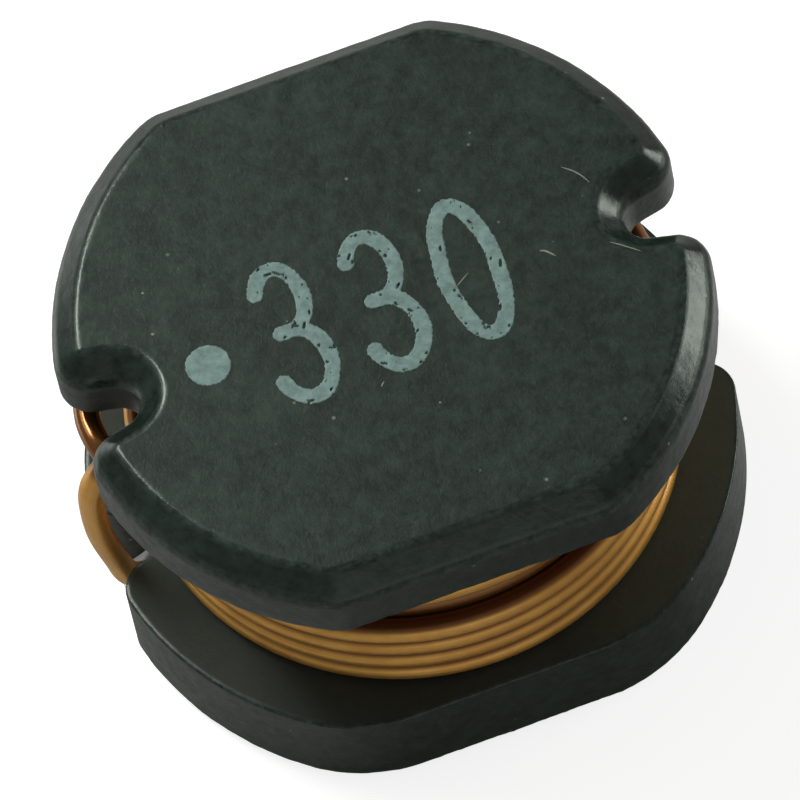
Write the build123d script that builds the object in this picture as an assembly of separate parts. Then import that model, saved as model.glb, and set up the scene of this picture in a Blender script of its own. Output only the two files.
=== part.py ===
from build123d import *
import os
from math import cos, radians, sin, sqrt, tan

# Surface-mount power inductor on an open drum core. Sizes are millimetres and +Z is up.
# The origin is the centre of the seating plane. +X runs through the two notches, and the
# flats of the flanges lie along X. "Left" is the -X end and "right" is the +X end.

# Drum core
overall_height = 5.0
flange_diameter = 7.8
flat_inset = 0.4              # how far in from the round each of the two flats lies
top_flange_thickness = 0.96
base_flange_thickness = 1.32
barrel_diameter = 3.68
top_corner_radius = 0.7       # where an arc of the top flange runs into its flat
base_corner_radius = 2.0      # the same on the base flange
rim_bevel = 0.32              # 45 degree bevel round the upper edge of the top flange
base_edge_bevel = 0.12        # bevel round the lower edge of the base flange

# Notches, one at each end of the long axis, through both flanges
notch_radius = 0.28           # round bottom of the notch
notch_depth = 0.86            # from the flange's rim to the bottom of the notch
notch_flare = 14.0            # degrees, how far each side leans outwards
lip_land = 0.08               # what the bevel leaves of the rounded lip

# Terminals and solder
terminal_thickness = 0.08
terminal_length = 2.0         # from the flange's end towards the middle
solder_gap = 0.01             # between the solder and the ferrite or the terminal
solder_height = 0.85          # where the solder climbs up the bottom of the notch
solder_reach = 0.68           # how far it runs out along the seating plane
solder_toe = 0.16             # its thickness at that end
solder_sag = 0.13             # how hollow its outer face is

# Winding
wire_diameter = 0.315         # over the enamel, and so the pitch of the turns
wire_sides = 12               # flats that stand for the round of the wire
layer_count = 5
shown_layers = 3              # the outer ones, which are modelled turn by turn
outer_layer_turns = 4         # the last layer stops short
winding_barrel_gap = 0.02
winding_end_gap = 0.02        # to each flange

# The last turn lies loose outside the others. Angles are degrees round from +X.
loose_turn_gap = 0.03         # to the layer it lies beside
loose_turn_headroom = 0.28    # from its crest to the top flange
loose_turn_mouth_inset = 0.2  # its centre line, in from the flange's rim, at the left notch
loose_turn_step = 30          # degrees from one point of its route to the next
step_start, step_end = 35, 95          # where it steps up out of the last full turn
climb_start, climb_end = 185, 262      # where it climbs from there and levels out
seated_by = 210                        # where it has come out to its own radius
swing_start, swing_end = 300, 525      # where it drifts outwards to the left notch
swing_power = 4               # the higher, the later it drifts

# Leads
lead_bend_fit = 0.45          # share of the shorter run that a bend takes up
lead_sway = 0.05              # how far the left lead leans sideways in its notch
lead_bulge = 0.03             # its centre line, out from the rim where it bows out most
lead_bulge_level = 0.51       # where that is, as a share of the way up the winding window
lead_tuck = 0.04              # its centre line, in from the rim where it enters the base notch
lead_tuck_level = 0.13        # where that is, again as a share of the window
left_lead_foot_inset = 0.24   # the left lead's centre line, in from the rim, at its foot
left_lead_foot_length = 0.5   # the stretch that turns inwards, into the solder
lead_foot_height = 0.42       # the foot's centre line above the seating plane
right_lead_stand_off = 0.29   # the right lead's centre line, from the notch; also its bend
right_lead_rise = 0.045       # clearance where it passes over the base flange

# Worked out from the sizes above
flange_radius = flange_diameter / 2
flange_width = flange_diameter - 2 * flat_inset   # across the two flats
wire_radius = wire_diameter / 2
window_floor = terminal_thickness + base_flange_thickness
window_top = overall_height - top_flange_thickness
window_height = window_top - window_floor
notch_bottom = flange_radius - notch_depth
notch_centre = notch_bottom + notch_radius
lip_radius = rim_bevel + lip_land
terminal_inner_edge = flange_radius - terminal_length
first_turn_height = window_floor + winding_end_gap + wire_radius
full_layer_turns = int((window_height - 2 * winding_end_gap) / wire_diameter)
layer_step = wire_diameter * sqrt(3) / 2          # turns nest in the grooves below them
first_layer_crest = barrel_diameter / 2 + winding_barrel_gap + wire_diameter


def layer_crest(layer):
    return first_layer_crest + layer * layer_step


# Drum core
def notch_cutter(side, radius):
    """Round-bottomed notch that opens outwards, at the +X (1) or -X (-1) end."""
    lean = radians(notch_flare)
    reach = flange_radius
    upper = (notch_centre - radius * sin(lean), radius * cos(lean))
    outer = (upper[0] + reach * cos(lean), upper[1] + reach * sin(lean))
    mouth = Polygon(
        (upper[0], -upper[1]), (outer[0], -outer[1]), outer, upper, align=None
    )
    cutter = Pos(notch_centre, 0) * Circle(radius) + mouth
    return cutter if side > 0 else Rot(0, 0, 180) * cutter


def flange_outline(corner_radius):
    """A circle cut by two flats, with a rounded-lipped notch at each end."""
    outline = Circle(flange_radius) & Rectangle(flange_diameter, flange_width)
    outline = fillet(outline.vertices(), corner_radius)
    outline = outline - notch_cutter(1, notch_radius) - notch_cutter(-1, notch_radius)
    lips = [v for v in outline.vertices()
            if Vector(v.X, v.Y).length > notch_centre + notch_radius / 2
            and abs(v.Y) < 2 * notch_radius]
    return fillet(lips, lip_radius)


def make_core():
    base = extrude(Pos(0, 0, terminal_thickness) * flange_outline(base_corner_radius),
                   base_flange_thickness)
    base = chamfer(base.faces().sort_by(Axis.Z)[0].edges(), base_edge_bevel)
    top = extrude(Pos(0, 0, window_top) * flange_outline(top_corner_radius),
                  top_flange_thickness)
    top = chamfer(top.faces().sort_by(Axis.Z)[-1].edges(), rim_bevel)
    barrel = Pos(0, 0, window_floor) * Cylinder(
        barrel_diameter / 2, window_height, align=(Align.CENTER, Align.CENTER, Align.MIN))
    return base + barrel + top


# Winding
def wire_section():
    """The round of the wire as a regular polygon, with flats where turns touch and at the crest."""
    return RegularPolygon(wire_radius, wire_sides, major_radius=False, rotation=180 / wire_sides)


def make_wound_layers():
    """A ring for every turn of the layers that show, filled in behind."""
    inner_radius = barrel_diameter / 2 + winding_barrel_gap
    section = Sketch()
    for layer in range(layer_count - shown_layers, layer_count):
        outermost = layer == layer_count - 1
        nested = (layer_count - 1 - layer) % 2        # every other layer starts half a turn up
        turns = outer_layer_turns if outermost else full_layer_turns - nested
        radius = layer_crest(layer) - wire_radius
        low = first_turn_height - wire_radius * (1 - nested)
        filling = Pos(inner_radius, low) * Rectangle(
            radius - inner_radius, turns * wire_diameter, align=(Align.MIN, Align.MIN))
        rings = [Pos(radius, low + wire_radius + turn * wire_diameter) * wire_section()
                 for turn in range(turns)]
        section = section + filling + rings
    return revolve(Plane.XZ * section, Axis.Z)


def bend_radii(points):
    """The largest bend that fits at each corner of a route."""
    radii = []
    for before, corner, after in zip(points, points[1:], points[2:]):
        run_in, run_out = corner - before, after - corner
        turn = radians(run_in.get_angle(run_out))
        radii.append(lead_bend_fit * min(run_in.length, run_out.length) / tan(turn / 2))
    return radii


def wire_along(points, radii):
    """Round wire along straight runs joined by tangent bends."""
    route = FilletPolyline(*points, radius=radii)
    return sweep(Plane(route @ 0, z_dir=route % 0) * wire_section(), path=route)


def share(value, start, end):
    """0 up to the start, 1 from the end on, and even between."""
    return min(max((value - start) / (end - start), 0), 1)


def smooth(part):
    return part * part * (3 - 2 * part)


def loose_turn_points():
    """Route of the last turn: out of the outer layer, up, round, and out to the left notch."""
    last_turn_height = first_turn_height + (outer_layer_turns - 1) * wire_diameter
    level_height = window_top - loose_turn_headroom - wire_radius
    wound_radius = layer_crest(layer_count - 1) - wire_radius
    seat_radius = layer_crest(layer_count - 2) + loose_turn_gap + wire_radius
    mouth_radius = flange_radius - loose_turn_mouth_inset
    outside = 1 / cos(radians(loose_turn_step / 2))     # the bends pass inside the corners
    points = []
    for angle in range(step_start, swing_end + 1, loose_turn_step):
        step = smooth(share(angle, step_start, step_end))
        climb = smooth(share(angle, climb_start, climb_end))
        swing = share(angle, swing_start, swing_end) ** swing_power
        radius = wound_radius + (seat_radius - wound_radius) * share(angle, climb_start, seated_by)
        radius = (radius + (mouth_radius - seat_radius) * swing) * outside
        height = last_turn_height + wire_diameter * step
        height = height + (level_height - height) * climb
        points.append(Vector(radius * cos(radians(angle)), radius * sin(radians(angle)), height))
    points.append(Vector(-mouth_radius, 0, level_height))
    return points


def left_lead_points():
    """From the loose turn outwards, down past the rim and into the left solder joint."""
    foot_x = -(flange_radius - left_lead_foot_inset)
    bulge_height = window_floor + lead_bulge_level * window_height
    tuck_height = window_floor + lead_tuck_level * window_height
    return [
        Vector(-(flange_radius + lead_bulge), -lead_sway, bulge_height),
        Vector(-(flange_radius - lead_tuck), -lead_sway, tuck_height),
        Vector(foot_x, 0, lead_foot_height),
        Vector(foot_x + left_lead_foot_length, 0, lead_foot_height),
    ]


def right_lead_points():
    """Out of the first turns, over the edge of the base flange and down its notch."""
    exit_height = window_floor + right_lead_rise + wire_radius
    drop_x = notch_bottom + right_lead_stand_off
    return [
        Vector(layer_crest(0), 0, exit_height),
        Vector(drop_x, 0, exit_height),
        Vector(drop_x, 0, lead_foot_height - wire_radius),
    ]


def make_winding():
    left_route = loose_turn_points() + left_lead_points()
    left_wire = wire_along(left_route, bend_radii(left_route))
    right_wire = wire_along(right_lead_points(), [right_lead_stand_off])
    return make_wound_layers() + left_wire + right_wire


# Terminals and solder
def make_terminal(side):
    """Plated electrode under one end of the base flange, round its notch."""
    plate = offset(flange_outline(base_corner_radius), -base_edge_bevel)
    end = Pos(side * (terminal_inner_edge + flange_radius / 2), 0) * Rectangle(
        flange_radius, flange_diameter)
    return extrude(plate & end, terminal_thickness)


def make_solder(side, lead):
    """Hollow-faced fillet of solder in the notch, round the wire's end."""
    back = notch_bottom + solder_gap
    toe = back + solder_reach
    middle = Vector((back + toe) / 2, 0, (solder_height + solder_toe) / 2)
    slope = Vector(solder_toe - solder_height, 0, -solder_reach).normalized()
    hollow = middle + slope * solder_sag
    profile = make_face(Wire([
        Line((back, 0, 0), (back, 0, solder_height)),
        ThreePointArc((back, 0, solder_height), hollow, (toe, 0, solder_toe)),
        Line((toe, 0, solder_toe), (toe, 0, 0)),
        Line((toe, 0, 0), (back, 0, 0)),
    ]))
    body = extrude(profile, 2 * notch_radius, both=True)
    plan = notch_cutter(1, notch_radius - solder_gap)
    body = body & extrude(plan, overall_height)
    foot_plan = notch_cutter(1, notch_radius + base_edge_bevel - solder_gap)
    foot_end = Pos(toe, 0) * Rectangle(
        2 * flange_radius, flange_width, align=(Align.MIN, Align.CENTER))
    body = body + extrude(foot_plan - foot_end, terminal_thickness - solder_gap)
    if side < 0:
        body = Rot(0, 0, 180) * body
    return body - lead


winding = make_winding()
parts = {
    "ferrite_core": make_core(),
    "copper_winding": winding,
    "terminal_left": make_terminal(-1),
    "terminal_right": make_terminal(1),
    "solder_left": make_solder(-1, winding),
    "solder_right": make_solder(1, winding),
}

os.makedirs("parts", exist_ok=True)
for name, solid in parts.items():
    export_step(solid, f"parts/{name}.step")
    print(name, "solids", len(solid.solids()), "volume", round(solid.volume, 4))
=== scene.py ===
import bpy
import numpy as np
from math import cos, pi, radians, sin, sqrt, tan
from mathutils import Matrix, Vector


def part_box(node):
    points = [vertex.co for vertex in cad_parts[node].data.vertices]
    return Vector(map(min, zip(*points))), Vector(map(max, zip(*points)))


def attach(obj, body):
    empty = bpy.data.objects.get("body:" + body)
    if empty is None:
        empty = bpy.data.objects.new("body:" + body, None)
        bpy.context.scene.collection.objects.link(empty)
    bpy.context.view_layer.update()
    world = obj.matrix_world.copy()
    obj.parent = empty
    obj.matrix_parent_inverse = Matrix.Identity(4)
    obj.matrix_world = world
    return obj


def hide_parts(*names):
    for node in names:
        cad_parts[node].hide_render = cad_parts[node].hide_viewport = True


# Open drum-core power inductor. Numbers are millimetres and degrees unless a note says otherwise;
# putMesh turns millimetres into metres. +X runs through the two notches, +Z is up.

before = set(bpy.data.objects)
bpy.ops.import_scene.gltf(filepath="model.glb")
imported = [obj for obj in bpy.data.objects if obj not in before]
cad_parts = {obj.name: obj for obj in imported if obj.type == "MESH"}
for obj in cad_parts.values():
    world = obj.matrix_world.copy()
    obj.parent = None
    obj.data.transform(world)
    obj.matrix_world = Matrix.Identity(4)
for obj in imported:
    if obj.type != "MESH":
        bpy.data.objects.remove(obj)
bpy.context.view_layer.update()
mm = 0.001
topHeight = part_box("ferrite_core")[1][2] / mm       # the marked face
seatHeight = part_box("ferrite_core")[0][2] / mm      # underside of the base flange
print("frame loaded, top face at", round(topHeight, 3), "mm")


# Shared mesh helpers

def gridQuads(rows, columns, closeRows=False, closeColumns=False, start=0):
    # quad (i, j) joins grid points (i, j), (i, j+1), (i+1, j+1), (i+1, j), counted row by row
    i, j = np.meshgrid(np.arange(rows if closeRows else rows - 1),
                       np.arange(columns if closeColumns else columns - 1), indexing="ij")
    k, m = (i + 1) % rows, (j + 1) % columns
    quads = np.stack([i * columns + j, i * columns + m, k * columns + m, k * columns + j], -1)
    return quads.reshape(-1, 4) + start


def fanTriangles(centre, ring, flip=False):
    # triangle k joins the centre with ring points k and k+1
    after = np.roll(ring, -1)
    first, second = (after, ring) if flip else (ring, after)
    return np.stack([np.full(len(ring), centre), first, second], -1)


def putMesh(name, points, faces, material, nodes=(), uv=None, values=None):
    # faces is a list of index arrays; uv and values hold one row for each point
    mesh = bpy.data.meshes.new(name)
    corners = [face for block in faces for face in block.tolist()]
    mesh.from_pydata((np.asarray(points) * mm).tolist(), [], corners)
    mesh.polygons.foreach_set("use_smooth", np.ones(len(mesh.polygons), bool))
    if uv is not None:
        index = np.empty(len(mesh.loops), np.int32)
        mesh.loops.foreach_get("vertex_index", index)
        layer = mesh.uv_layers.new(name="UVMap")
        layer.data.foreach_set("uv", np.asarray(uv, np.float32)[index].ravel())
    for key, column in (values or {}).items():
        attribute = mesh.attributes.new(key, "FLOAT", "POINT")
        attribute.data.foreach_set("value", np.asarray(column, np.float32))
    mesh.materials.append(material)
    mesh.update()
    piece = bpy.data.objects.new(name, mesh)
    bpy.context.scene.collection.objects.link(piece)
    if nodes:
        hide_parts(*nodes)
    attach(piece, "root")
    return piece


def smoothStep(x):
    # 0 below 0, 1 above 1, and 3x^2 - 2x^3 between
    x = np.clip(x, 0, 1)
    return x * x * (3 - 2 * x)


def waves(x, seed, count=8):
    # sum of sines of x, 2x, 3x ... with falling heights, so that it repeats after one full turn of x
    draw = np.random.default_rng(seed)
    total = np.zeros_like(np.asarray(x, float))
    for k in range(1, count + 1):
        total += np.sin(x * k + draw.uniform(0, 2 * pi)) * draw.uniform(0.5, 1) / k ** 0.6
    return total / 2


# Shared material helper

class NodeTree:
    # node() makes a node and joins or sets its sockets, the rest are the few patterns used below

    def __init__(self, name):
        self.material = bpy.data.materials.new(name)
        self.material.use_nodes = True
        self.tree = self.material.node_tree
        self.shader = self.tree.nodes["Principled BSDF"]

    def join(self, value, socket):
        if isinstance(value, bpy.types.NodeSocket):
            self.tree.links.new(value, socket)
        else:
            socket.default_value = value

    def node(self, kind, inputs=None, **settings):
        made = self.tree.nodes.new(kind)
        for key, value in settings.items():
            setattr(made, key, value)
        for key, value in (inputs or {}).items():
            self.join(value, made.inputs[key])
        return made

    def objectPlace(self, stretch=(1, 1, 1), turn=0.0):
        # object coordinates in millimetres, turned about Z and then stretched
        place = self.node("ShaderNodeTexCoord").outputs["Object"]
        turned = self.node("ShaderNodeMapping", {0: place, "Rotation": (0, 0, radians(turn))})
        scale = tuple(s / mm for s in stretch)
        return self.node("ShaderNodeMapping", {0: turned.outputs[0], "Scale": scale}).outputs[0]

    def noise(self, place, scale, detail=3.0, roughness=0.5):
        inputs = {"Vector": place, "Scale": scale, "Detail": detail, "Roughness": roughness}
        return self.node("ShaderNodeTexNoise", inputs).outputs["Fac"]

    def ramp(self, value, low, high, start=0.0, end=1.0):
        # low..high becomes start..end, and it stops there
        inputs = {"Value": value, "From Min": low, "From Max": high, "To Min": start, "To Max": end}
        return self.node("ShaderNodeMapRange", inputs).outputs["Result"]

    def mix(self, share, first, second):
        return self.node("ShaderNodeMix", {0: share, 6: first, 7: second}, data_type="RGBA").outputs[2]

    def maths(self, operation, first, second=0.0):
        return self.node("ShaderNodeMath", {0: first, 1: second}, operation=operation).outputs[0]

    def bump(self, height, strength, depth, below=None):
        # depth in millimetres
        inputs = {"Height": height, "Strength": strength, "Distance": depth * mm}
        if below is not None:
            inputs["Normal"] = below
        return self.node("ShaderNodeBump", inputs).outputs["Normal"]


# Ferrite

ferrite = dict(
    dark=(0.0080, 0.0135, 0.0105, 1), pale=(0.0255, 0.0385, 0.0305, 1), wornAndHighlight=(0.080, 0.105, 0.090, 1),
    speck=(0.24, 0.25, 0.22, 1), pit=(0.004, 0.005, 0.004, 1), scratch=(0.055, 0.068, 0.058, 1),
    roughness=(0.32, 0.46), polished=0.19, specular=0.42, sheenTint=(0.87, 1.0, 0.85, 1),
    # faces that were never ground, round the winding; painted light makes them paler towards +X, as if lit
    # from that side
    raw=(0.0210, 0.0225, 0.0180, 1), rawPaintedLight=(0.0850, 0.0960, 0.0700, 1), rawRoughness=0.62,
    mottleScale=1.1, blotchScale=5.5, grainScale=13.0, fineScale=34.0, speckScale=2.4, pitScale=5.0,
)


def makeFerrite():
    t = NodeTree("ferrite")
    place = t.objectPlace()
    mottle = t.noise(place, ferrite["mottleScale"], 3.0, 0.55)
    blotch = t.noise(place, ferrite["blotchScale"], 2.0, 0.5)
    grain = t.noise(place, ferrite["grainScale"], 5.0, 0.70)
    fine = t.noise(place, ferrite["fineScale"], 2.0, 0.5)
    # mottled tone
    shade = t.maths("ADD", t.maths("MULTIPLY", mottle, 0.25), t.maths("MULTIPLY", grain, 0.35))
    shade = t.maths("ADD", shade, t.maths("MULTIPLY", blotch, 0.40))
    colour = t.mix(t.ramp(shade, 0.40, 0.61), ferrite["dark"], ferrite["pale"])
    # pits, and scratches that run along one direction in patches
    pits = t.maths("MULTIPLY", t.ramp(t.noise(place, ferrite["pitScale"], 4.0, 0.8), 0.66, 0.72),
                   t.ramp(fine, 0.50, 0.60))
    colour = t.mix(pits, colour, ferrite["pit"])
    lines = t.noise(t.objectPlace((0.35, 26, 1), 34), 1.0, 2.0, 0.5)
    patches = t.noise(place, 0.8, 2.0)
    lines = t.maths("MULTIPLY", t.ramp(lines, 0.70, 0.80), t.ramp(patches, 0.50, 0.62))
    colour = t.mix(t.maths("MULTIPLY", lines, 0.5), colour, ferrite["scratch"])
    # pale specks at the middles of some cells, and a paler tone on the rounded edges, partly rubbed edges
    # and partly a painted highlight
    dust = t.node("ShaderNodeTexVoronoi", {"Vector": place, "Scale": ferrite["speckScale"]})
    specks = t.ramp(dust.outputs["Distance"], 0.03, 0.07, 1.0, 0.0)
    specks = t.maths("MULTIPLY", specks, t.ramp(dust.outputs["Color"], 0.62, 0.70))
    colour = t.mix(t.maths("MULTIPLY", specks, 0.9), colour, ferrite["speck"])
    edge = t.node("ShaderNodeAttribute", attribute_name="edgeWearAndHighlight").outputs["Fac"]
    rubAndHighlight = t.maths("MULTIPLY", edge, t.ramp(t.noise(place, 9.0, 4.0, 0.7), 0.40, 0.64))
    colour = t.mix(t.maths("MULTIPLY", rubAndHighlight, 0.45), colour, ferrite["wornAndHighlight"])
    # gloss, and the raw faces round the winding
    low, high = ferrite["roughness"]
    rough = t.ramp(t.noise(place, 6.0, 5.0, 0.6), 0.3, 0.7, low, high)
    smooth = t.node("ShaderNodeAttribute", attribute_name="polish").outputs["Fac"]
    rough = t.maths("SUBTRACT", rough, t.maths("MULTIPLY", smooth, ferrite["polished"]))
    raw = t.node("ShaderNodeAttribute", attribute_name="raw").outputs["Fac"]
    # painted light: the raw faces turn paler towards +X, as if lit from that side
    east = t.node("ShaderNodeSeparateXYZ", {0: place}).outputs["X"]
    rawWithPaintedLight = t.mix(t.ramp(t.maths("ADD", east, mottle), 1.2, 3.8), ferrite["raw"], ferrite["rawPaintedLight"])
    colour = t.mix(t.maths("MULTIPLY", raw, 0.8), colour, rawWithPaintedLight)
    rough = t.maths("MAXIMUM", rough, t.maths("MULTIPLY", raw, ferrite["rawRoughness"]))
    # relief, calmer where the surface is polished
    calm = t.ramp(smooth, 0.0, 1.0, 1.0, 0.42)
    broad = t.bump(t.noise(place, 2.6, 3.0), 0.4, 0.02)
    uneven = t.bump(grain, t.maths("MULTIPLY", calm, 0.5), 0.010, broad)
    t.join(colour, t.shader.inputs["Base Color"])
    t.join(rough, t.shader.inputs["Roughness"])
    t.join(t.bump(fine, t.maths("MULTIPLY", calm, 0.4), 0.004, uneven), t.shader.inputs["Normal"])
    t.shader.inputs["Specular IOR Level"].default_value = ferrite["specular"]
    t.shader.inputs["Specular Tint"].default_value = ferrite["sheenTint"]
    return t.material


# Drum core

core = dict(
    flangeRadius=3.9, flatInset=0.4, topThickness=0.96, baseThickness=1.32, barrelRadius=1.84,
    topCorner=0.7, baseCorner=2.0, rimBevel=0.32, notchRadius=0.28, notchDepth=0.86,
    notchFlare=14.0, lipLand=0.08,
    upperRound=0.15, lowerRound=0.28,        # rounding of the two edges of the rim bevel
    footRound=0.12,          # lower edge of the base flange
    innerRound=0.03,         # the edges that face the winding
    edgeWander=0.005,        # unevenness of the rounded edges
    arcRows=6, fanPower=0.58,
)


def arc(centre, radius, start, end, count, hollow=False):
    # centre + radius (cos a, sin a); the inward normal is -(cos a, sin a), turned round for a hollow
    a = np.radians(np.linspace(start, end, count))
    ray = np.stack([np.cos(a), np.sin(a)], -1)
    return np.asarray(centre) + radius * ray, ray if hollow else -ray


def flangeOutline(cornerRadius):
    # one quarter goes notch bottom, flared side, rounded lip, rim, corner, flat, every joint tangent;
    # it is mirrored in X and Y. Returns the points and the normals that point into the ferrite.
    rim = core["flangeRadius"]
    flat = rim - core["flatInset"]
    lip = core["rimBevel"] + core["lipLand"]
    lean = radians(core["notchFlare"])
    notchX = rim - core["notchDepth"] + core["notchRadius"]
    along, inward = np.array([cos(lean), sin(lean)]), np.array([-sin(lean), cos(lean)])
    sideStart = np.array([notchX, 0]) + core["notchRadius"] * inward
    base = sideStart + lip * inward
    run = -base @ along + sqrt((base @ along) ** 2 - base @ base + (rim - lip) ** 2)
    lipCentre = base + run * along
    sideEnd = lipCentre - lip * inward
    lipEnd = np.degrees(np.arctan2(lipCentre[1], lipCentre[0]))
    cornerY = flat - cornerRadius
    cornerX = sqrt((rim - cornerRadius) ** 2 - cornerY ** 2)
    cornerStart = np.degrees(np.arctan2(cornerY, cornerX))
    flatX = np.linspace(cornerX, 0, 24)
    pieces = [
        arc((notchX, 0), core["notchRadius"], 180, 90 + core["notchFlare"], 18, hollow=True),
        (np.linspace(sideStart, sideEnd, 5), np.tile(inward, (5, 1))),
        arc(lipCentre, lip, core["notchFlare"] - 90, lipEnd, 18),
        arc((0, 0), rim, lipEnd, cornerStart, 44),
        arc((cornerX, cornerY), cornerRadius, cornerStart, 90, 18),
        (np.stack([flatX, np.full(24, flat)], -1), np.tile([0.0, -1.0], (24, 1))),
    ]
    points = np.concatenate([p[:-1] for p, n in pieces] + [pieces[-1][0][-1:]])
    normals = np.concatenate([n[:-1] for p, n in pieces] + [pieces[-1][1][-1:]])
    left, low, both = np.array([-1, 1]), np.array([1, -1]), np.array([-1, -1])
    loop = [(points, normals)]
    loop.append((points[::-1][1:] * left, normals[::-1][1:] * left))
    loop.append((points[1:] * both, normals[1:] * both))
    loop.append((points[::-1][1:-1] * low, normals[::-1][1:-1] * low))
    return np.concatenate([p for p, n in loop]), np.concatenate([n for p, n in loop])


def spreadRing(line):
    # unit circle, one point for each outline point: the angle within a quarter grows with the length
    # run from the notch, to the power fanPower, so that the strips that join the two never cross
    step = np.linalg.norm(np.diff(line, axis=0), axis=1)
    quarter = (len(line) + 4) // 4
    run = np.concatenate([[0], np.cumsum(step[:quarter - 1])])
    angle = pi / 2 * (run / run[-1]) ** core["fanPower"]
    angle = np.concatenate([angle, pi - angle[::-1][1:], pi + angle[1:], 2 * pi - angle[::-1][1:-1]])
    return np.stack([np.cos(angle), np.sin(angle)], -1)


def makeCore(material):
    # closed surface: rows run from the centre of the underside, round the base flange, up the barrel
    # and round the top flange to the centre of the marked face. A rim row is outline + inset * normal.
    baseLine, baseNormal = flangeOutline(core["baseCorner"])
    topLine, topNormal = flangeOutline(core["topCorner"])
    count = len(topLine)
    turn = np.linspace(0, 2 * pi, count, endpoint=False)
    topRing, baseRing = spreadRing(topLine), spreadRing(baseLine)
    windowLow = seatHeight + core["baseThickness"]
    windowHigh = topHeight - core["topThickness"]
    foot, inner = core["footRound"], core["innerRound"]
    bevel, upper, lower = core["rimBevel"], core["upperRound"], core["lowerRound"]
    upperRun, lowerRun = upper * tan(radians(22.5)), lower * tan(radians(22.5))
    quarter = np.radians(np.linspace(0, 90, core["arcRows"]))
    eighth = np.radians(np.linspace(0, 45, core["arcRows"]))
    # the edge values mark rubbed edges, and also a painted highlight along the roundings
    rows, wearAndHighlight, polish, raw = [], [], [], []

    def add(flat, height, edge=0.0, smooth=0.0, rough=0.0):
        rows.append(np.column_stack([flat, np.broadcast_to(height, count)]))
        wearAndHighlight.append(np.full(count, edge))
        polish.append(np.full(count, max(edge, smooth)))
        raw.append(np.full(count, rough))

    def rim(line, normal, inset, height, edge=0.0, seed=0, smooth=0.0):
        drift = core["edgeWander"] * (waves(turn * 11, seed) + waves(turn * 37, seed + 50)) * edge
        add(line + normal * (inset + drift)[:, None], height + drift * 0.6, edge, smooth)

    faceRing, barrel = 0.55 * core["flangeRadius"], core["barrelRadius"]
    for radius in (0.35, 1.0):
        add(baseRing * faceRing * radius, seatHeight)
    for share in (0.5, 0.9, 0.98):
        add((baseLine + baseNormal * foot) * share + baseRing * faceRing * (1 - share), seatHeight)
    for a in quarter:
        rim(baseLine, baseNormal, foot * (1 - sin(a)), seatHeight + foot * (1 - cos(a)),
            sin(2 * a) ** 0.5 if 0 < a < pi / 2 else 0, 1)
    for share in (0.03, 0.35, 0.7, 0.97):
        rim(baseLine, baseNormal, 0.0, seatHeight + foot + share * (core["baseThickness"] - foot - inner))
    for a in quarter[::2]:
        rim(baseLine, baseNormal, inner * (1 - cos(a)), windowLow - inner * (1 - sin(a)),
            0.8 if 0 < a < pi / 2 else 0.4, 2)
    for share in (0.02, 0.2, 0.5, 0.8, 1.0):
        add((baseLine + baseNormal * inner) * (1 - share) + baseRing * barrel * share, windowLow, rough=1.0)
    for share in (0.02, 0.35, 0.65, 0.98):
        ring = baseRing * (1 - share) + topRing * share
        add(ring * barrel, windowLow + share * (windowHigh - windowLow), rough=1.0)
    for share in (1.0, 0.8, 0.5, 0.2, 0.02):
        add((topLine + topNormal * inner) * (1 - share) + topRing * barrel * share, windowHigh, rough=1.0)
    for a in quarter[::2]:
        rim(topLine, topNormal, inner * (1 - sin(a)), windowHigh + inner * (1 - cos(a)),
            0.8 if 0 < a < pi / 2 else 0.4, 3)
    wallLow, wallHigh = windowHigh + inner, topHeight - bevel - lowerRun
    for share in (0.04, 0.35, 0.7, 0.96):
        rim(topLine, topNormal, 0.0, wallLow + share * (wallHigh - wallLow))
    for a in eighth:
        rim(topLine, topNormal, lower * (1 - cos(a)), wallHigh + lower * sin(a), sin(4 * a) * 0.8 + 0.2, 4)
    for share in (0.08, 0.5, 0.92):
        inset = lower * (1 - cos(pi / 4)) * (1 - share) + (bevel + upperRun - upper * sin(pi / 4)) * share
        rim(topLine, topNormal, inset, topHeight - bevel + inset, smooth=1.0)
    for a in eighth + pi / 4:
        rim(topLine, topNormal, bevel + upperRun - upper * cos(a), topHeight - upper * (1 - sin(a)),
            sin(4 * a - pi) * 0.8 + 0.2 * (a < pi / 2), 5)
    for share in (0.98, 0.9, 0.5):
        add((topLine + topNormal * (bevel + upperRun)) * share + topRing * faceRing * (1 - share), topHeight)
    for radius in (1.0, 0.35):
        add(topRing * faceRing * radius, topHeight)

    poles = np.array([[0, 0, seatHeight], [0, 0, topHeight]])
    points = np.concatenate(rows + [poles])
    total = len(rows) * count
    faces = [
        gridQuads(len(rows), count, closeColumns=True),
        fanTriangles(total, np.arange(count), flip=True),
        fanTriangles(total + 1, np.arange(total - count, total)),
    ]
    columns = {"edgeWearAndHighlight": wearAndHighlight, "polish": polish, "raw": raw}
    values = {key: np.concatenate(column + [[0, 0]]) for key, column in columns.items()}
    return putMesh("coreBody", points, faces, material, ["ferrite_core"], values=values)


# Enamelled copper wire

copper = dict(
    gold=(0.90, 0.50, 0.110, 1), amber=(0.74, 0.37, 0.075, 1), deep=(0.30, 0.09, 0.022, 1),
    paintedShade=(0.16, 0.045, 0.014, 1),         # painted shade: dark colour between the turns, on the inner layers and on the strands in the notches
    metallic=0.80, roughness=(0.42, 0.52), mouthRoughness=0.20, coat=0.35, coatRoughness=0.06,
)


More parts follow.
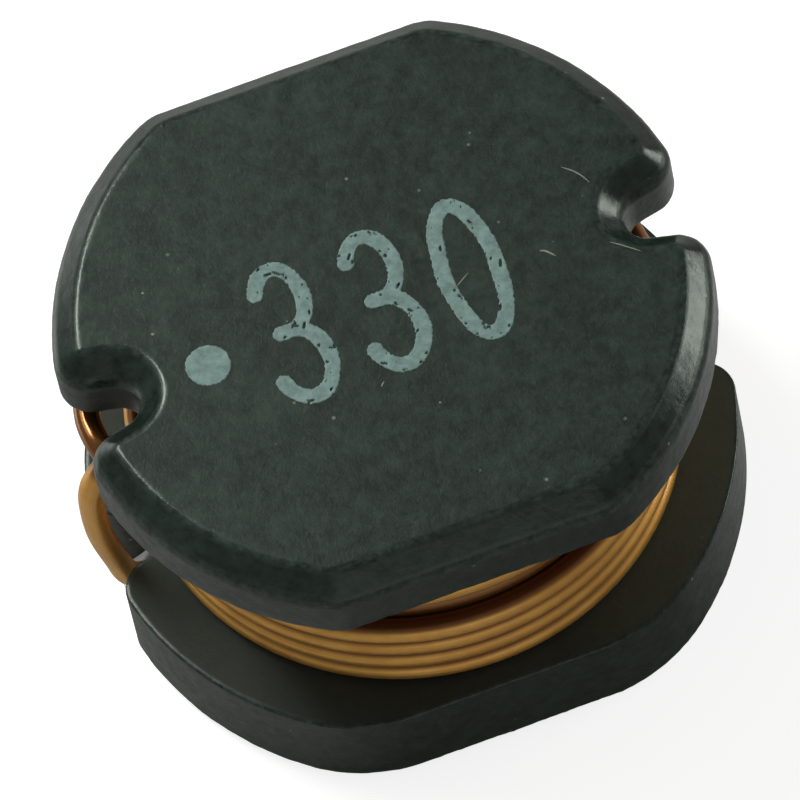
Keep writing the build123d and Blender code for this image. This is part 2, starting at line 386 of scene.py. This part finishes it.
def makeCopper():
    t = NodeTree("enamelledCopper")
    uv = t.node("ShaderNodeTexCoord").outputs["UV"]
    along = t.node("ShaderNodeMapping", {0: uv, "Scale": (0.9, 0.5, 1)}).outputs[0]
    drawn = t.node("ShaderNodeMapping", {0: uv, "Scale": (0.25, 26, 1)}).outputs[0]
    # broad changes of tone along the wire, and the fine lines that drawing leaves
    patches = t.noise(along, 1.6, 4.0, 0.6)
    lines = t.noise(drawn, 1.0, 3.0, 0.6)
    colour = t.mix(t.ramp(patches, 0.34, 0.66), copper["amber"], copper["gold"])
    colour = t.mix(t.maths("MULTIPLY", t.ramp(lines, 0.55, 0.75), 0.35), colour, copper["deep"])
    # painted shade: the colour turns dark between the turns, on the inner layers and on the strands in the
    # notches
    paintedShade = t.node("ShaderNodeAttribute", attribute_name="paintedShade").outputs["Fac"]
    colour = t.mix(paintedShade, colour, copper["paintedShade"])
    low, high = copper["roughness"]
    rough = t.ramp(lines, 0.3, 0.7, low, high)
    mouth = t.node("ShaderNodeAttribute", attribute_name="mouth").outputs["Fac"]
    gloss = t.maths("MULTIPLY", mouth, (low + high) / 2 - copper["mouthRoughness"])
    t.join(colour, t.shader.inputs["Base Color"])
    t.join(t.maths("SUBTRACT", rough, gloss), t.shader.inputs["Roughness"])
    t.join(t.bump(lines, 0.15, 0.004, t.bump(patches, 0.2, 0.01)), t.shader.inputs["Normal"])
    t.shader.inputs["Metallic"].default_value = copper["metallic"]
    t.shader.inputs["Coat Weight"].default_value = copper["coat"]
    t.shader.inputs["Coat Roughness"].default_value = copper["coatRoughness"]
    return t.material


wire = dict(
    pitch=0.315, radius=0.155, firstRadius=2.0175, firstHeight=1.5775,
    turns=(8, 7, 8, 7, 4),                  # in each layer, from the barrel outwards
    stepStart=35, stepEnd=95,               # where each turn steps on to the next place
    climbStart=185, climbEnd=262, seatedBy=210, swingStart=300, swingEnd=525, swingPower=4,
    seatRadius=3.1805, mouthRadius=3.70, levelHeight=3.6025,
    controlStep=15, wander=0.006, samples=4, sides=20, innerRadius=3.0, mouthHeight=3.32,
)
# route of the right lead, from its foot in the solder up and in over the base flange
rightLead = [(3.33, 0, 0.26), (3.33, 0, 0.55), (3.33, 0, 0.9), (3.33, 0, 1.25), (3.29, 0, 1.56),
             (3.06, 0, 1.63), (2.75, 0, 1.61), (2.45, 0.02, 1.59), (2.16, 0.10, 1.58)]
# route of the left lead, from the mouth of the notch round and down to its foot in the solder
leftLead = [(-3.61, 0.66, 3.60), (-3.63, 0.38, 3.61), (-3.60, 0.12, 3.60), (-3.52, -0.04, 3.50),
            (-3.74, -0.06, 3.28), (-3.86, -0.06, 3.00), (-3.89, -0.06, 2.60), (-3.89, -0.05, 2.20),
            (-3.87, -0.03, 1.76), (-3.80, -0.03, 1.36), (-3.74, -0.01, 1.00), (-3.70, 0, 0.66),
            (-3.58, 0, 0.45), (-3.38, 0, 0.40), (-3.18, 0, 0.40)]


def coilControls():
    # cylinder coordinates: the angle grows evenly, radius and height stay on one turn and then step
    # over to the next within (stepStart, stepEnd); the last turn climbs and swings out to the notch
    radii, heights = [], []
    for layer, turns in enumerate(wire["turns"]):
        place = np.arange(turns) + 0.5 * (layer % 2)
        heights.append(wire["firstHeight"] + wire["pitch"] * (place[::-1] if layer % 2 else place))
        radii.append(np.full(turns, wire["firstRadius"] + layer * wire["pitch"] * sqrt(3) / 2))
    radii, heights = np.concatenate(radii), np.concatenate(heights)
    span = wire["stepEnd"] - wire["stepStart"]
    angle = np.arange(wire["controlStep"], 360 * len(radii) + wire["stepStart"], wire["controlStep"])
    turn = (angle - wire["stepEnd"]) / 360
    whole = np.floor(turn).astype(int)
    over = smoothStep(((turn - whole) * 360 - (360 - span)) / span)
    this, after = np.clip(whole, 0, len(radii) - 1), np.clip(whole + 1, 0, len(radii) - 1)
    over = np.where(whole < 0, 0, over)
    radius = radii[this] + (radii[after] - radii[this]) * over
    height = heights[this] + (heights[after] - heights[this]) * over
    loose = np.arange(wire["stepStart"], wire["swingEnd"] + 1, wire["controlStep"]).astype(float)
    step = smoothStep((loose - wire["stepStart"]) / span)
    climb = smoothStep((loose - wire["climbStart"]) / (wire["climbEnd"] - wire["climbStart"]))
    outward = np.clip((loose - wire["climbStart"]) / (wire["seatedBy"] - wire["climbStart"]), 0, 1)
    swing = np.clip((loose - wire["swingStart"]) / (wire["swingEnd"] - wire["swingStart"]), 0, 1)
    looseRadius = radii[-1] + (wire["seatRadius"] - radii[-1]) * outward
    looseRadius += (wire["mouthRadius"] - wire["seatRadius"]) * swing ** wire["swingPower"]
    looseHeight = heights[-1] + wire["pitch"] * step
    looseHeight += (wire["levelHeight"] - looseHeight) * climb
    angle = np.concatenate([angle, loose + 360 * len(radii)])
    radius = np.concatenate([radius, looseRadius])
    height = np.concatenate([height, looseHeight])
    draw = np.random.default_rng(4)
    slack = np.convolve(draw.normal(0, 1, len(angle) + 8), np.ones(9) / 3, "valid") * wire["wander"]
    lift = np.convolve(draw.normal(0, 1, len(angle) + 8), np.ones(9) / 3, "valid") * wire["wander"]
    shrink = (2 + cos(radians(wire["controlStep"]))) / 3       # a cubic spline runs inside its points
    radius = (radius + slack * 0.5) / shrink
    a = np.radians(angle)
    return np.stack([radius * np.cos(a), radius * np.sin(a), height + lift * 0.6], -1)


def splinePoints(controls, samples):
    # uniform cubic B-spline through phantom ends, so that it starts and stops at its end points
    c = np.concatenate([[2 * controls[0] - controls[1]], controls, [2 * controls[-1] - controls[-2]]])
    u = (np.arange(samples) / samples)[None, :, None]
    a, b, d, e = (c[k:len(c) - 3 + k, None] for k in range(4))
    curve = ((1 - u) ** 3 * a + (3 * u ** 3 - 6 * u ** 2 + 4) * b
             + (-3 * u ** 3 + 3 * u ** 2 + 3 * u + 1) * d + u ** 3 * e) / 6
    return np.concatenate([curve.reshape(-1, controls.shape[1]), controls[-1:]])


def makeWire(material):
    # tube: centre(s) + radius (cos v * N + sin v * B), where N is the guide direction made square to
    # the path and B = T x N. The guide is up along the coil and turns over in the two leads.
    coil = coilControls()
    right, left = np.array(rightLead), np.array(leftLead)
    up, out, side = (0, 0, 1), (1, 0, 0), (0, -1, 0)
    lean = (0.7, 0, 0.7)
    rightGuide = [out, out, out, out, lean, up, up, up, up]
    leftGuide = [up, up, up, (0, -0.6, 0.8)] + [side] * 11
    controls = np.column_stack([
        np.concatenate([right, coil, left]),
        np.concatenate([rightGuide, np.tile(up, (len(coil), 1)), leftGuide]),
    ])
    line = splinePoints(controls, wire["samples"])
    centre, guide = line[:, :3], line[:, 3:]
    tangent = np.gradient(centre, axis=0)
    length = np.linalg.norm(tangent, axis=1)
    tangent /= length[:, None]
    normal = guide - (guide * tangent).sum(1)[:, None] * tangent
    normal /= np.linalg.norm(normal, axis=1)[:, None]
    binormal = np.cross(tangent, normal)
    sides = wire["sides"]
    v = np.linspace(0, 2 * pi, sides, endpoint=False)
    ring = (np.cos(v)[None, :, None] * normal[:, None] + np.sin(v)[None, :, None] * binormal[:, None])
    points = (centre[:, None] + wire["radius"] * ring).reshape(-1, 3)
    points = np.concatenate([points, centre[:1], centre[-1:]])
    distance = np.concatenate([[0], np.cumsum(np.linalg.norm(np.diff(centre, axis=0), axis=1))])
    uv = np.stack(np.broadcast_arrays(distance[:, None], np.abs(v / pi - 1)[None]), -1).reshape(-1, 2)
    uv = np.concatenate([uv, [[distance[0], 0.5], [distance[-1], 0.5]]])
    stations, total = len(centre), len(centre) * sides
    faces = [
        gridQuads(stations, sides, closeColumns=True),
        fanTriangles(total, np.arange(sides), flip=True),
        fanTriangles(total + 1, np.arange(total - sides, total)),
    ]
    # painted shade lies where the radius is below innerRadius, in both notches above mouthHeight, and on the
    # parts of the coil that face the turn above or below, where |2u - 1| is near 1, all places kept in shade
    inner = 1 - smoothStep((np.hypot(points[:, 0], points[:, 1]) - wire["innerRadius"]) / 0.12)
    high = smoothStep((points[:, 2] - wire["mouthHeight"]) / 0.15)
    inMouth = high * smoothStep((-3.0 - points[:, 0]) / 0.5)
    inRight = high * smoothStep((points[:, 0] - 2.6) / 0.4)
    station = np.append(np.repeat(np.arange(stations), sides), [0, stations - 1])
    coilStart = len(right) * wire["samples"]
    onCoil = (station > coilStart) & (station < coilStart + len(coil) * wire["samples"])
    crevice = smoothStep((np.abs(2 * uv[:, 1] - 1) - 0.40) / 0.28) * onCoil
    paintedShadeMask = np.maximum(np.maximum(inner, inMouth), inRight)
    values = {"paintedShade": np.maximum(0.8 * paintedShadeMask, 0.95 * crevice), "mouth": inMouth}
    print("wire length", round(float(distance[-1])), "mm,", stations, "stations")
    return putMesh("woundWire", points, faces, material, ["copper_winding"], uv, values)


# Tin plating and solder

tin = dict(dull=(0.60, 0.60, 0.57, 1), bright=(0.78, 0.78, 0.76, 1), roughness=(0.28, 0.5))


def makeTin(name, grain, depth):
    t = NodeTree(name)
    place = t.objectPlace()
    clouds = t.noise(place, grain, 5.0, 0.6)
    crystals = t.node("ShaderNodeTexVoronoi", {"Vector": place, "Scale": grain * 2.2})
    colour = t.mix(t.ramp(clouds, 0.35, 0.65), tin["dull"], tin["bright"])
    low, high = tin["roughness"]
    t.join(colour, t.shader.inputs["Base Color"])
    t.join(t.ramp(clouds, 0.3, 0.7, low, high), t.shader.inputs["Roughness"])
    height = t.maths("ADD", clouds, t.maths("MULTIPLY", crystals.outputs["Distance"], 0.4))
    t.join(t.bump(height, 0.35, depth), t.shader.inputs["Normal"])
    t.shader.inputs["Metallic"].default_value = 1.0
    return t.material


solder = dict(
    gap=0.01, height=0.85, reach=0.68, toe=0.15, fall=1.8, spread=0.10, spreadHeight=0.06,
    wallClimb=0.07, wireClimb=0.16, climbWidth=0.07, lumps=0.012, middle=0.18,
)
# plan of the wire where it stands or lies in the solder: from x to x on the notch's middle line
wireInSolder = {"solderLeft": (3.16, 3.80), "solderRight": (3.33, 3.33)}


def notchLine(radius):
    # closed convex line: straight toe, flared side, round bottom, flared side
    notchX = core["flangeRadius"] - core["notchDepth"] + core["notchRadius"]
    toeX = core["flangeRadius"] - core["notchDepth"] + solder["gap"] + solder["reach"]
    lean = radians(core["notchFlare"])
    bend = arc((notchX, 0), radius, 90 + core["notchFlare"], 270 - core["notchFlare"], 41)[0]
    toe = np.array([toeX, bend[0, 1] + (toeX - bend[0, 0]) * tan(lean)])
    side = np.linspace(toe, bend[0], 14, endpoint=False)
    edge = np.linspace(toe * [1, -1], toe, 14, endpoint=False)
    return np.concatenate([side, bend, (side * [1, -1])[::-1][:-1], edge])


def makeSolder(name, node, side, material):
    # rings of the notch's line shrunk towards a middle point. The height is
    # toe + (height - toe) (1 - out)^fall, out being 0 at the notch bottom and 1 at the toe, and
    # climb * exp(-distance / climbWidth) is added beside the ferrite and round the wire.
    small = core["notchRadius"] - solder["gap"]
    backX = core["flangeRadius"] - core["notchDepth"] + solder["gap"]
    middle = np.array([backX + solder["middle"], 0])
    line, foot = notchLine(small), notchLine(small + solder["spread"])
    foot[:, 0] = np.minimum(foot[:, 0], backX + solder["reach"])
    count = len(line)
    wireStart, wireEnd = wireInSolder[name]
    rows = []
    for share in (0.3, 0.7, 1.0):
        rows.append(np.column_stack([middle + share * (foot - middle), np.zeros(count)]))
    rows.append(np.column_stack([foot, np.full(count, solder["spreadHeight"])]))
    for share in 1 - np.linspace(0, 1, 22)[:-1] ** 1.5:
        flat = middle + share * (line - middle)
        out = np.clip((flat[:, 0] - backX) / solder["reach"], 0, 1)
        toWall = (1 - share) * np.linalg.norm(line - middle, axis=1)
        past = np.maximum(0, np.maximum(wireStart - flat[:, 0], flat[:, 0] - wireEnd))
        toWire = np.maximum(0, np.hypot(past, flat[:, 1]) - wire["radius"])
        high = solder["toe"] + (solder["height"] - solder["toe"]) * (1 - out) ** solder["fall"]
        high += solder["wallClimb"] * np.exp(-toWall / solder["climbWidth"]) * (1 - out)
        high += solder["wireClimb"] * np.exp(-toWire / solder["climbWidth"]) * (1 - out)
        high += solder["lumps"] * (waves(flat[:, 0] * 9, 3, 3) + waves(flat[:, 1] * 11, 4, 3)) * (1 - share)
        rows.append(np.column_stack([flat, np.minimum(high, solder["height"])]))
    points = np.concatenate(rows + [[[*middle, 0], [*middle, rows[-1][:, 2].mean()]]])
    total = len(rows) * count
    faces = [
        gridQuads(len(rows), count, closeColumns=True),
        fanTriangles(total, np.arange(count), flip=True),
        fanTriangles(total + 1, np.arange(total - count, total)),
    ]
    return putMesh(name, points * [side, side, 1], faces, material, [node])


# Printed mark: a dot and a plain three-digit value

ink = dict(
    cell=0.014, thickness=0.006, depth=0.004, stroke=0.098, height=1.98, middle=-0.055,
    digits=((3, -1.07), (3, 0.06), (0, 1.12)), digitWidth=0.74,
    dot=(-2.15, -0.09), dotRadius=0.268, dotReach=0.4,       # its grid ends at dotReach
    raggedness=0.006, swell=0.010, voids=30,
    colour=(0.225, 0.355, 0.315, 1), thin=(0.135, 0.215, 0.195, 1), roughness=0.62,
)


def digitLines(digit):
    # centre lines of a 0 or a 3 in a box one wide and one high about the origin, out of stretches of
    # ellipses: x + rx cos a, y + ry sin a
    def bow(x, y, rx, ry, start, end, count=33):
        a = np.radians(np.linspace(start, end, count))
        return np.stack([x + rx * np.cos(a), y + ry * np.sin(a)], -1)

    if digit == 0:
        return [bow(0, 0, 0.43, 0.45, 0, 360, 61)]
    bar = np.array([(-0.20, 0.018), (-0.03, 0.018)])
    return [bow(-0.03, 0.234, 0.37, 0.216, 158, -90), bar, bow(-0.03, -0.216, 0.43, 0.234, 90, -160)]


def lineDistance(x, y, line):
    # distance of every grid point from the nearest stretch of the line
    start, run = line[:-1], np.diff(line, axis=0)
    dx, dy = x[..., None] - start[:, 0], y[..., None] - start[:, 1]
    share = np.clip((dx * run[:, 0] + dy * run[:, 1]) / (run ** 2).sum(1), 0, 1)
    return np.hypot(dx - share * run[:, 0], dy - share * run[:, 1]).min(-1)


def missedSpots(lines, draw):
    # small places that took no ink: middle, radius, stretch and direction, laid along the stroke sides
    start = np.concatenate([line[:-1] for line in lines])
    run = np.concatenate([np.diff(line, axis=0) for line in lines])
    chosen = draw.integers(0, len(start), ink["voids"])
    along = np.arctan2(run[chosen, 1], run[chosen, 0])
    shift = draw.choice([-1, 1], ink["voids"]) * ink["stroke"] * draw.uniform(0.30, 0.86, ink["voids"])
    middle = start[chosen] + run[chosen] * draw.uniform(0, 1, (ink["voids"], 1))
    middle += np.stack([-np.sin(along), np.cos(along)], -1) * shift[:, None]
    radius = draw.uniform(0.006, 0.019, ink["voids"])
    stretch = draw.uniform(1, 2, ink["voids"]) ** 1.8
    return np.column_stack([middle, radius, stretch, along + draw.normal(0, 0.3, ink["voids"])])


def makeMark(name, material, low, high, seed, lines=(), dot=None):
    # the ink is where f(x, y) = distance to the stroke - half its width < 0, less the missed spots.
    # Cells of a fine grid that touch it are kept and their outer points are slid on to f = 0.
    cell = ink["cell"]
    draw = np.random.default_rng(seed)
    x, y = np.meshgrid(np.arange(low[0], high[0], cell), np.arange(low[1], high[1], cell), indexing="ij")
    fine = [(*draw.uniform(30, 120, 2), *draw.uniform(0, 6, 2)) for k in range(6)]
    broad = [(*draw.uniform(4, 12, 2), *draw.uniform(0, 6, 2)) for k in range(3)]
    spots = missedSpots(lines, draw) if dot is None else []

    def field(x, y):
        if dot is None:
            f = np.min([lineDistance(x, y, line) for line in lines], axis=0) - ink["stroke"]
        else:
            f = np.hypot(x - dot[0], y - dot[1]) - ink["dotRadius"]
        f = f + ink["raggedness"] / 2 * sum(np.sin(x * a + c) * np.sin(y * b + d) for a, b, c, d in fine)
        f = f + ink["swell"] / 2 * sum(np.sin(x * a + c) * np.sin(y * b + d) for a, b, c, d in broad)
        for spotX, spotY, radius, stretch, tilt in spots:
            u = (x - spotX) * cos(tilt) + (y - spotY) * sin(tilt)
            w = (y - spotY) * cos(tilt) - (x - spotX) * sin(tilt)
            f = np.maximum(f, radius - np.hypot(u / stretch, w))
        return f

    f = field(x, y)
    inside = f < 0
    full = inside[:-1, :-1] | inside[1:, :-1] | inside[:-1, 1:] | inside[1:, 1:]
    index = np.arange(x.size).reshape(x.shape)
    quads = np.stack([index[:-1, :-1], index[1:, :-1], index[1:, 1:], index[:-1, 1:]], -1)[full]
    e = cell * 0.2
    for k in range(3):
        f = field(x, y)
        gx, gy = (field(x + e, y) - f) / e, (field(x, y + e) - f) / e
        size = np.maximum(gx ** 2 + gy ** 2, 0.25)
        move = np.where(inside, 0, np.clip(f, 0, cell * 1.2))
        x, y = x - move * gx / size, y - move * gy / size
    used, quads = np.unique(quads, return_inverse=True)
    quads = quads.reshape(-1, 4)
    x, y, keep = x.ravel()[used], y.ravel()[used], inside.ravel()[used]
    upper = np.column_stack([x, y, topHeight + np.where(keep, ink["thickness"], 0.0)])
    lower = np.column_stack([x, y, np.full(len(x), topHeight - ink["depth"])])[keep]
    twin = np.arange(len(x))
    twin[keep] = len(x) + np.arange(keep.sum())
    return putMesh(name, np.concatenate([upper, lower]), [quads, twin[quads][:, ::-1]], material)


def makeInk():
    t = NodeTree("greyInk")
    place = t.objectPlace()
    cover = t.noise(place, 7.0, 5.0, 0.7)
    colour = t.mix(t.ramp(cover, 0.36, 0.62), ink["thin"], ink["colour"])
    t.join(colour, t.shader.inputs["Base Color"])
    t.join(t.bump(cover, 0.4, 0.008), t.shader.inputs["Normal"])
    t.shader.inputs["Roughness"].default_value = ink["roughness"]
    return t.material


def makeMarks():
    material = makeInk()
    wide, tall = ink["digitWidth"], ink["height"]
    for place, (digit, x) in enumerate(ink["digits"]):
        scale, shift = np.array([wide, tall]), np.array([x, ink["middle"]])
        lines = [line * scale + shift for line in digitLines(digit)]
        reach = scale / 2 + 3 * ink["stroke"]
        makeMark(f"markDigit{place + 1}", material, shift - reach, shift + reach, 20 + place, lines)
    centre, reach = np.array(ink["dot"]), ink["dotReach"]
    makeMark("markDot", material, centre - reach, centre + reach, 31, dot=ink["dot"])


# Lint and specks of dust on the marked face

lint = dict(
    height=0.005, sides=6, samples=8, colour=(0.27, 0.29, 0.23, 1), roughness=0.8,
    fibres=[          # half width, then the points it runs through
        (0.010, [(2.55, 0.82), (2.65, 0.74), (2.74, 0.63), (2.80, 0.49)]),
        (0.014, [(1.95, -0.13), (2.01, -0.15), (2.06, -0.21), (2.11, -0.27)]),
        (0.009, [(2.75, -0.33), (2.85, -0.41), (2.94, -0.49), (3.07, -0.60)]),
        (0.008, [(0.89, -0.21), (1.09, -0.08)]),
        (0.009, [(-0.36, -1.12), (-0.30, -1.06)]),
        (0.018, [(-2.57, 1.12), (-2.54, 1.10)]),
        (0.018, [(-2.64, 0.56), (-2.60, 0.54)]),
        (0.013, [(-1.34, -0.76), (-1.32, -0.77)]),
        (0.012, [(0.20, -1.57), (0.23, -1.58)]),
        (0.012, [(-1.11, 0.12), (-1.09, 0.11)]),
    ],
)


def makeLint():
    # each fibre is a flat tube: centre(s) + w(s) cos v * sideways + height sin v * up, where the half
    # width w(s) is the square root of sin(pi s), so that both ends close in a point
    t = NodeTree("lint")
    t.shader.inputs["Base Color"].default_value = lint["colour"]
    t.shader.inputs["Roughness"].default_value = lint["roughness"]
    sides, points, faces, total = lint["sides"], [], [], 0
    v = np.linspace(0, 2 * pi, sides, endpoint=False)
    for width, controls in lint["fibres"]:
        centre = splinePoints(np.array(controls), lint["samples"])
        along = np.gradient(centre, axis=0)
        along /= np.linalg.norm(along, axis=1)[:, None]
        thick = np.sqrt(np.sin(pi * np.linspace(0, 1, len(centre)))[1:-1])
        flat = centre[1:-1, None] + (np.cos(v) * width * thick[:, None])[..., None] * (
            along[1:-1, ::-1] * [-1, 1])[:, None]
        high = topHeight + lint["height"] * np.sin(v) * thick[:, None]
        tube = np.concatenate([flat, high[..., None]], -1).reshape(-1, 3)
        ends = np.column_stack([centre[[0, -1]], [topHeight, topHeight]])
        count = len(tube)
        faces.append(gridQuads(len(thick), sides, closeColumns=True, start=total))
        faces.append(fanTriangles(total + count, total + np.arange(sides), flip=True))
        faces.append(fanTriangles(total + count + 1, total + np.arange(count - sides, count)))
        points += [tube, ends]
        total += count + 2
    return putMesh("surfaceLint", np.concatenate(points), faces, t.material)


# The pieces

ferriteFinish = makeFerrite()
makeCore(ferriteFinish)
print("core made")
makeWire(makeCopper())
print("wire made")
makeMarks()
makeLint()
print("marks and lint made")
plate = makeTin("tinPlate", 6.0, 0.01)
for name in ("terminal_left", "terminal_right"):
    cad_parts[name].data.materials.clear()
    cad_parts[name].data.materials.append(plate)
solderFinish = makeTin("solderFinish", 3.0, 0.006)
makeSolder("solderLeft", "solder_left", -1, solderFinish)
makeSolder("solderRight", "solder_right", 1, solderFinish)
print("terminals and solder made")


# Floor, light and camera

studio = dict(
    floorSize=1200.0, floorDrop=0.01,        # just clear of the terminals, which end at 0
    floorColour=(0.52, 0.52, 0.51, 1), floorRoughness=0.9, floorGlow=0.80, sky=0.21,
    cameraAzimuth=-7.8505, cameraElevation=62.0104, cameraRoll=-12.7433, cameraDistance=195.0,
    cameraLens=750.4, aimHeight=4.675, aimRight=0.2134, aimUp=-1.0467,
)
# each patch of the table that glows in reflections only, a painted reflection: x, y, inner and outer radius
# and strength
sheen = dict(left=(-14.5, 11.5, 5.5, 10.0, 1.0), right=(6.0, 0.5, 2.0, 5.0, 0.35))
# each lamp: direction it shines from, distance, width, height, turn about that direction and strength
lamps = dict(
    leftLamp=((-0.60, 0.46, 0.65), 120, 60, 60, 0, 0.08),
    stripLamp=((-0.370, 0.508, 0.778), 60, 34.5, 14, 43, 0.50),
    rightLamp=((0.985, 0.03, 0.15), 120, 80, 30, 0, 0.30),
    backLamp=((-0.40, 0.62, 0.675), 30, 20, 20, 0, 0.08),
    frontLamp=((-0.10, -0.97, 0.20), 260, 200, 180, 0, 0.075),
)


def makeFloor():
    # towards the camera the floor glows by floorGlow; in reflections each sheen patch glows by its
    # strength within its inner radius, and the glow has gone at its outer radius
    t = NodeTree("paleFloor")
    path = t.node("ShaderNodeLightPath").outputs
    place = t.objectPlace()
    # painted reflection: the patches glow only for glossy rays, so they show on the object but not on the
    # floor
    patches = 0.0
    for x, y, inner, outer, strength in sheen.values():
        away = t.node("ShaderNodeVectorMath", {0: place, 1: (x, y, 0)}, operation="DISTANCE")
        patches = t.maths("ADD", t.ramp(away.outputs["Value"], inner, outer, strength, 0.0), patches)
    glow = t.maths("ADD", t.maths("MULTIPLY", path["Is Camera Ray"], studio["floorGlow"]),
                   t.maths("MULTIPLY", path["Is Glossy Ray"], patches))
    t.join(glow, t.shader.inputs["Emission Strength"])
    t.shader.inputs["Emission Color"].default_value = (1, 1, 1, 1)
    t.shader.inputs["Base Color"].default_value = studio["floorColour"]
    t.shader.inputs["Roughness"].default_value = studio["floorRoughness"]
    half, low = studio["floorSize"] / 2 * mm, -studio["floorDrop"] * mm
    mesh = bpy.data.meshes.new("floor")
    corners = [(-half, -half, low), (half, -half, low), (half, half, low), (-half, half, low)]
    mesh.from_pydata(corners, [], [(0, 1, 2, 3)])
    mesh.materials.append(t.material)
    floor = bpy.data.objects.new("floor", mesh)
    bpy.context.scene.collection.objects.link(floor)


def makeSky():
    # the world is white towards the camera and shines on everything else with the strength sky
    world = bpy.data.worlds.new("studio")
    world.use_nodes = True
    nodes, links = world.node_tree.nodes, world.node_tree.links
    back = nodes["Background"]
    path = nodes.new("ShaderNodeLightPath")
    seen = nodes.new("ShaderNodeMapRange")
    links.new(path.outputs["Is Camera Ray"], seen.inputs["Value"])
    seen.inputs["To Min"].default_value = studio["sky"]
    seen.inputs["To Max"].default_value = 1.0
    back.inputs["Color"].default_value = (1, 1, 1, 1)
    links.new(seen.outputs["Result"], back.inputs["Strength"])
    bpy.context.scene.world = world


def makeLamps():
    # oval area lamps that face the origin; a white card that faces one shows its strength, because
    # the energy is strength * pi^2 * distance^2
    for name, (direction, distance, width, height, turn, strength) in lamps.items():
        lamp = bpy.data.lights.new(name, "AREA")
        lamp.shape = "ELLIPSE"
        lamp.size, lamp.size_y = width * mm, height * mm
        lamp.energy = strength * pi ** 2 * (distance * mm) ** 2
        place = bpy.data.objects.new(name, lamp)
        toLamp = Vector(direction).normalized()
        place.location = toLamp * distance * mm
        facing = toLamp.to_track_quat("Z", "Y").to_matrix()
        place.rotation_euler = (facing @ Matrix.Rotation(radians(turn), 3, "Z")).to_euler()
        bpy.context.scene.collection.objects.link(place)


def makeCamera():
    # looks at the point aimHeight above the origin, moved aside by aimRight and aimUp, and is rolled
    az, el, roll = (radians(studio[key]) for key in ("cameraAzimuth", "cameraElevation", "cameraRoll"))
    back = Vector((sin(az) * cos(el), -cos(az) * cos(el), sin(el)))
    level = Vector((cos(az), sin(az), 0))
    upright = back.cross(level)
    right = cos(roll) * level + sin(roll) * upright
    up = cos(roll) * upright - sin(roll) * level
    camera = bpy.data.cameras.new("camera")
    camera.lens = studio["cameraLens"]
    camera.sensor_width = 36
    camera.clip_start, camera.clip_end = 0.01, 10
    holder = bpy.data.objects.new("camera", camera)
    place = back * studio["cameraDistance"] + right * studio["aimRight"] + up * studio["aimUp"]
    place = (place + Vector((0, 0, studio["aimHeight"]))) * mm
    holder.matrix_world = Matrix.Translation(place) @ Matrix((right, up, back)).transposed().to_4x4()
    bpy.context.scene.collection.objects.link(holder)
    bpy.context.scene.camera = holder


makeFloor()
makeSky()
makeLamps()
makeCamera()
bpy.context.scene.view_settings.view_transform = "Standard"
print("studio made")
